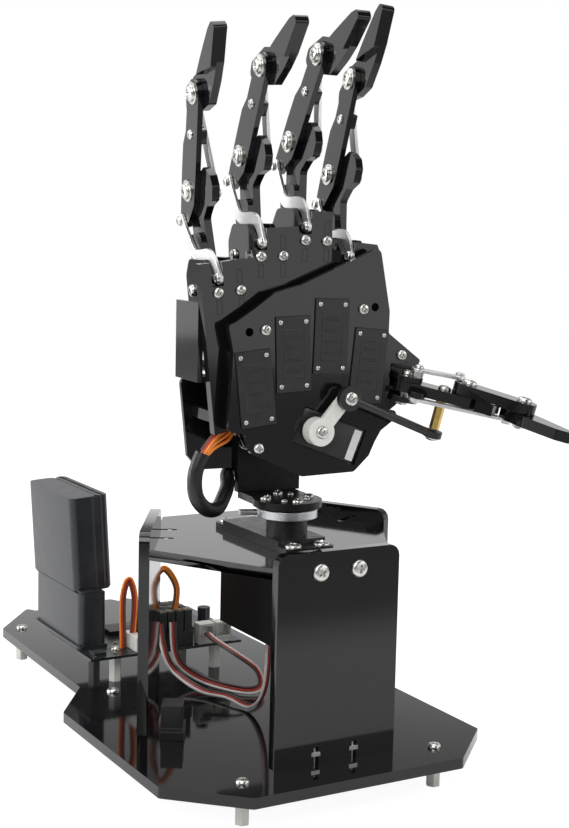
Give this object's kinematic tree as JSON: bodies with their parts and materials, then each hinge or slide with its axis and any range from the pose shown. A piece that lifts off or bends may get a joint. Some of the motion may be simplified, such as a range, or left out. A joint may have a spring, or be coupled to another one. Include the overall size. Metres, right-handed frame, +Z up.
{
  "type": "desktop robot hand",
  "caption": "Desktop robot hand with linkage-coupled fingers and thumb, palm servos and a pan wrist on a three-sided tower with a control board.",
  "frame": {"origin": "in the middle of the tower front to its wrist servo, at the level of the feet", "axes": "+Z up, -Y the way the palm and the front panel face, +X towards the thumb"},
  "size_m": [0.2138, 0.414, 0.4217],
  "materials": {
    "black_acrylic": "polished",
    "white_nylon": "moulded",
    "steel_fasteners": "machined",
    "servo_case": "fine moulded grain",
    "circuit_board": "solder mask",
    "header_plastic": "moulded",
    "white_plastic": "moulded",
    "receiver_case": "moulded",
    "cable_jackets": "satin",
    "silver_aluminium": "satin",
    "black_aluminium": "anodised",
    "hand_wires": "satin",
    "black_rod": "satin",
    "brass_post": "turned",
    "steel_rod": "turned"
  },
  "bodies": {
    "tower": {"base_plate": "black_acrylic", "nylon_pillars": "white_nylon", "base_screws": "steel_fasteners", "front_panel": "black_acrylic", "left_panel": "black_acrylic", "rear_panel": "black_acrylic", "top_plate": "black_acrylic", "wrist_servo": "servo_case", "controller_board": "circuit_board", "board_headers": "header_plastic", "board_connectors": "white_plastic", "receiver": "receiver_case", "servo_cables": "cable_jackets"},
    "hand": {"wrist_horn": "silver_aluminium", "turntable": "black_aluminium", "stem_bracket": "black_aluminium", "palm_plate": "black_acrylic", "front_plate": "black_acrylic", "finger_servos": "servo_case", "thumb_servo": "servo_case", "palm_hardware": "steel_fasteners", "pivot_ears": "black_acrylic", "rear_box": "black_acrylic", "hand_cables": "hand_wires"},
    "proximal_1": {"proximal_1": "black_acrylic"},
    "middle_1": {"middle_1": "black_acrylic"},
    "fingertip_1": {"fingertip_1": "black_acrylic"},
    "s_link_1": {"s_link_1": "silver_aluminium"},
    "tip_link_1": {"tip_link_1": "silver_aluminium"},
    "finger_horn_1": {"finger_horn_1": "white_plastic"},
    "pull_rod_1": {"pull_rod_1": "steel_rod"},
    "proximal_2": {"proximal_2": "black_acrylic"},
    "middle_2": {"middle_2": "black_acrylic"},
    "fingertip_2": {"fingertip_2": "black_acrylic"},
    "s_link_2": {"s_link_2": "silver_aluminium"},
    "tip_link_2": {"tip_link_2": "silver_aluminium"},
    "finger_horn_2": {"finger_horn_2": "white_plastic"},
    "pull_rod_2": {"pull_rod_2": "steel_rod"},
    "proximal_3": {"proximal_3": "black_acrylic"},
    "middle_3": {"middle_3": "black_acrylic"},
    "fingertip_3": {"fingertip_3": "black_acrylic"},
    "s_link_3": {"s_link_3": "silver_aluminium"},
    "tip_link_3": {"tip_link_3": "silver_aluminium"},
    "finger_horn_3": {"finger_horn_3": "white_plastic"},
    "pull_rod_3": {"pull_rod_3": "steel_rod"},
    "proximal_4": {"proximal_4": "black_acrylic"},
    "middle_4": {"middle_4": "black_acrylic"},
    "fingertip_4": {"fingertip_4": "black_acrylic"},
    "s_link_4": {"s_link_4": "silver_aluminium"},
    "tip_link_4": {"tip_link_4": "silver_aluminium"},
    "finger_horn_4": {"finger_horn_4": "white_plastic"},
    "pull_rod_4": {"pull_rod_4": "steel_rod"},
    "thumb_horn": {"thumb_horn": "white_plastic"},
    "thumb_rod": {"thumb_rod": "black_rod"},
    "thumb_middle": {"thumb_middle": "black_acrylic"},
    "thumb_tip": {"thumb_tip": "black_acrylic"},
    "thumb_link": {"thumb_link": "silver_aluminium"},
    "thumb_tip_link": {"thumb_tip_link": "silver_aluminium"},
    "thumb_proximal": {"thumb_proximal": "black_acrylic", "thumb_post": "brass_post"}
  },
  "joints": [
    {"name": "wrist_pan", "type": "hinge", "parent": "tower", "child": "hand", "pos_m": [0.0004, -0.0103, 0.146], "axis": [0, 0, 1], "range_deg": [-85, 95]},
    {"name": "finger_1_mcp", "type": "hinge", "parent": "hand", "child": "proximal_1", "pos_m": [-0.04191, 0.00893, 0.268], "axis": [0.9904, -0.0806, 0.1125], "range_deg": [-8, 20]},
    {"name": "finger_1_pip", "type": "hinge", "parent": "proximal_1", "child": "middle_1", "pos_m": [-0.04725, 0.01683, 0.32064], "axis": [0.9904, -0.0806, 0.1125], "range_deg": [-10.59, 25.73]},
    {"name": "finger_1_dip", "type": "hinge", "parent": "middle_1", "child": "fingertip_1", "pos_m": [-0.05447, -0.00186, 0.37079], "axis": [0.9904, -0.0806, 0.1125], "range_deg": [-10.9, 26.51]},
    {"name": "finger_1_s_link", "type": "hinge", "parent": "hand", "child": "s_link_1", "pos_m": [-0.04507, -0.01941, 0.27545], "axis": [0.9904, -0.0806, 0.1125], "range_deg": [-6.38, 15.2]},
    {"name": "finger_1_tip_link", "type": "hinge", "parent": "proximal_1", "child": "tip_link_1", "pos_m": [-0.04853, -0.00158, 0.3187], "axis": [0.9904, -0.0806, 0.1125], "range_deg": [-9.78, 23.7]},
    {"name": "finger_1_horn", "type": "hinge", "parent": "hand", "child": "finger_horn_1", "pos_m": [-0.03158, 0.00859, 0.22784], "axis": [0.0811, 0.9967, 0], "range_deg": [-7.7, 18.5]},
    {"name": "finger_1_rod", "type": "hinge", "parent": "finger_horn_1", "child": "pull_rod_1", "pos_m": [-0.04322, 0.01255, 0.22649], "axis": [0.0811, 0.9967, 0], "range_deg": [-18.98, 7.89]},
    {"name": "finger_2_mcp", "type": "hinge", "parent": "hand", "child": "proximal_2", "pos_m": [-0.01799, 0.00698, 0.2866], "axis": [0.9959, -0.081, 0.04], "range_deg": [-8, 20]},
    {"name": "finger_2_pip", "type": "hinge", "parent": "proximal_2", "child": "middle_2", "pos_m": [-0.01992, 0.00957, 0.34], "axis": [0.9959, -0.081, 0.04], "range_deg": [-11.58, 28.19]},
    {"name": "finger_2_dip", "type": "hinge", "parent": "middle_2", "child": "fingertip_2", "pos_m": [-0.02409, -0.01927, 0.38546], "axis": [0.9959, -0.081, 0.04], "range_deg": [-11.43, 27.83]},
    {"name": "finger_2_s_link", "type": "hinge", "parent": "hand", "child": "s_link_2", "pos_m": [-0.0206, -0.0214, 0.29409], "axis": [0.9959, -0.081, 0.04], "range_deg": [-7.22, 17.3]},
    {"name": "finger_2_tip_link", "type": "hinge", "parent": "proximal_2", "child": "tip_link_2", "pos_m": [-0.02125, -0.00856, 0.33633], "axis": [0.9959, -0.081, 0.04], "range_deg": [-11.86, 28.9]},
    {"name": "finger_2_horn", "type": "hinge", "parent": "hand", "child": "finger_horn_2", "pos_m": [-0.00958, 0.0068, 0.24569], "axis": [0.0811, 0.9967, 0], "range_deg": [-7.7, 18.5]},
    {"name": "finger_2_rod", "type": "hinge", "parent": "finger_horn_2", "child": "pull_rod_2", "pos_m": [-0.02129, 0.01076, 0.24521], "axis": [0.0811, 0.9967, 0], "range_deg": [-18.98, 7.89]},
    {"name": "finger_3_mcp", "type": "hinge", "parent": "hand", "child": "proximal_3", "pos_m": [0.00752, 0.00491, 0.2951], "axis": [0.9965, -0.0811, -0.0195], "range_deg": [-8, 20]},
    {"name": "finger_3_pip", "type": "hinge", "parent": "proximal_3", "child": "middle_3", "pos_m": [0.00868, 0.00622, 0.34857], "axis": [0.9965, -0.0811, -0.0195], "range_deg": [-11.82, 28.8]},
    {"name": "finger_3_dip", "type": "hinge", "parent": "middle_3", "child": "fingertip_3", "pos_m": [0.00703, -0.02475, 0.39278], "axis": [0.9965, -0.0811, -0.0195], "range_deg": [-11.87, 28.92]},
    {"name": "finger_3_s_link", "type": "hinge", "parent": "hand", "child": "s_link_3", "pos_m": [0.00536, -0.02351, 0.3026], "axis": [0.9965, -0.0811, -0.0195], "range_deg": [-7.38, 17.7]},
    {"name": "finger_3_tip_link", "type": "hinge", "parent": "proximal_3", "child": "tip_link_3", "pos_m": [0.00713, -0.01183, 0.34454], "axis": [0.9965, -0.0811, -0.0195], "range_deg": [-12.34, 30.1]},
    {"name": "finger_3_horn", "type": "hinge", "parent": "hand", "child": "finger_horn_3", "pos_m": [0.01309, 0.00496, 0.2549], "axis": [0.0811, 0.9967, 0], "range_deg": [-7.7, 18.5]},
    {"name": "finger_3_rod", "type": "hinge", "parent": "finger_horn_3", "child": "pull_rod_3", "pos_m": [0.00138, 0.00892, 0.25513], "axis": [0.0811, 0.9967, 0], "range_deg": [-18.98, 7.89]},
    {"name": "finger_4_mcp", "type": "hinge", "parent": "hand", "child": "proximal_4", "pos_m": [0.03304, 0.00283, 0.2793], "axis": [0.9926, -0.0807, -0.0905], "range_deg": [-8, 20]},
    {"name": "finger_4_pip", "type": "hinge", "parent": "proximal_4", "child": "middle_4", "pos_m": [0.0386, 0.01262, 0.3316], "axis": [0.9926, -0.0807, -0.0905], "range_deg": [-10.17, 24.68]},
    {"name": "finger_4_dip", "type": "hinge", "parent": "middle_4", "child": "fingertip_4", "pos_m": [0.04222, -0.00121, 0.38367], "axis": [0.9926, -0.0807, -0.0905], "range_deg": [-10.2, 24.74]},
    {"name": "finger_4_s_link", "type": "hinge", "parent": "hand", "child": "s_link_4", "pos_m": [0.0314, -0.02563, 0.28677], "axis": [0.9926, -0.0807, -0.0905], "range_deg": [-5.98, 14.2]},
    {"name": "finger_4_tip_link", "type": "hinge", "parent": "proximal_4", "child": "tip_link_4", "pos_m": [0.03701, -0.00584, 0.33062], "axis": [0.9926, -0.0807, -0.0905], "range_deg": [-8.98, 21.7]},
    {"name": "finger_4_horn", "type": "hinge", "parent": "hand", "child": "finger_horn_4", "pos_m": [0.03667, 0.00304, 0.23866], "axis": [0.0811, 0.9967, 0], "range_deg": [-7.7, 18.5]},
    {"name": "finger_4_rod", "type": "hinge", "parent": "finger_horn_4", "child": "pull_rod_4", "pos_m": [0.025, 0.007, 0.23974], "axis": [0.0811, 0.9967, 0], "range_deg": [-18.98, 7.89]},
    {"name": "thumb_swing", "type": "hinge", "parent": "hand", "child": "thumb_proximal", "pos_m": [0.05589, -0.04066, 0.2175], "axis": [-0.142, 0.1836, -0.9727], "range_deg": [-8, 20]},
    {"name": "thumb_horn_turn", "type": "hinge", "parent": "hand", "child": "thumb_horn", "pos_m": [0.00068, -0.04219, 0.1945], "axis": [0.0811, 0.9967, 0], "range_deg": [-11.02, 4.71]},
    {"name": "thumb_rod_turn", "type": "hinge", "parent": "thumb_horn", "child": "thumb_rod", "pos_m": [0.0156, -0.04782, 0.21232], "axis": [-0.1366, 0.9281, -0.3465], "range_deg": [-6.4, 15.24]},
    {"name": "thumb_mid", "type": "hinge", "parent": "thumb_proximal", "child": "thumb_middle", "pos_m": [0.08358, -0.05891, 0.21001], "axis": [-0.142, 0.1836, -0.9727], "range_deg": [-3.99, 9.21]},
    {"name": "thumb_end", "type": "hinge", "parent": "thumb_middle", "child": "thumb_tip", "pos_m": [0.10192, -0.08406, 0.20259], "axis": [-0.142, 0.1836, -0.9727], "range_deg": [-3.13, 7.07]},
    {"name": "thumb_link_turn", "type": "hinge", "parent": "hand", "child": "thumb_link", "pos_m": [0.05996, -0.04715, 0.22637], "axis": [-0.142, 0.1836, -0.9727], "range_deg": [-9.41, 22.78]},
    {"name": "thumb_tip_link_turn", "type": "hinge", "parent": "thumb_proximal", "child": "thumb_tip_link", "pos_m": [0.05343, -0.053, 0.21121], "axis": [-0.142, 0.1836, -0.9727], "range_deg": [-1.88, 3.95]}
  ],
  "couplings": [
    {"joint": "finger_1_pip", "follows": "finger_1_mcp", "ratio": 1.2613},
    {"joint": "finger_1_dip", "follows": "finger_1_mcp", "ratio": 1.3005},
    {"joint": "finger_1_s_link", "follows": "finger_1_mcp", "ratio": 0.735},
    {"joint": "finger_1_tip_link", "follows": "finger_1_mcp", "ratio": 1.16},
    {"joint": "finger_1_horn", "follows": "finger_1_mcp", "ratio": 0.9},
    {"joint": "finger_1_rod", "follows": "finger_1_mcp", "ratio": -0.924},
    {"joint": "finger_2_pip", "follows": "finger_2_mcp", "ratio": 1.3845},
    {"joint": "finger_2_dip", "follows": "finger_2_mcp", "ratio": 1.3666},
    {"joint": "finger_2_s_link", "follows": "finger_2_mcp", "ratio": 0.84},
    {"joint": "finger_2_tip_link", "follows": "finger_2_mcp", "ratio": 1.42},
    {"joint": "finger_2_horn", "follows": "finger_2_mcp", "ratio": 0.9},
    {"joint": "finger_2_rod", "follows": "finger_2_mcp", "ratio": -0.924},
    {"joint": "finger_3_pip", "follows": "finger_3_mcp", "ratio": 1.415},
    {"joint": "finger_3_dip", "follows": "finger_3_mcp", "ratio": 1.4211},
    {"joint": "finger_3_s_link", "follows": "finger_3_mcp", "ratio": 0.86},
    {"joint": "finger_3_tip_link", "follows": "finger_3_mcp", "ratio": 1.48},
    {"joint": "finger_3_horn", "follows": "finger_3_mcp", "ratio": 0.9},
    {"joint": "finger_3_rod", "follows": "finger_3_mcp", "ratio": -0.924},
    {"joint": "finger_4_pip", "follows": "finger_4_mcp", "ratio": 1.2088},
    {"joint": "finger_4_dip", "follows": "finger_4_mcp", "ratio": 1.212},
    {"joint": "finger_4_s_link", "follows": "finger_4_mcp", "ratio": 0.685},
    {"joint": "finger_4_tip_link", "follows": "finger_4_mcp", "ratio": 1.06},
    {"joint": "finger_4_horn", "follows": "finger_4_mcp", "ratio": 0.9},
    {"joint": "finger_4_rod", "follows": "finger_4_mcp", "ratio": -0.924},
    {"joint": "thumb_horn_turn", "follows": "thumb_swing", "ratio": -0.5261},
    {"joint": "thumb_rod_turn", "follows": "thumb_swing", "ratio": 0.7371},
    {"joint": "thumb_mid", "follows": "thumb_swing", "ratio": 0.4357},
    {"joint": "thumb_end", "follows": "thumb_swing", "ratio": 0.3287},
    {"joint": "thumb_link_turn", "follows": "thumb_swing", "ratio": 1.114},
    {"joint": "thumb_tip_link_turn", "follows": "thumb_swing", "ratio": 0.1725}
  ]
}
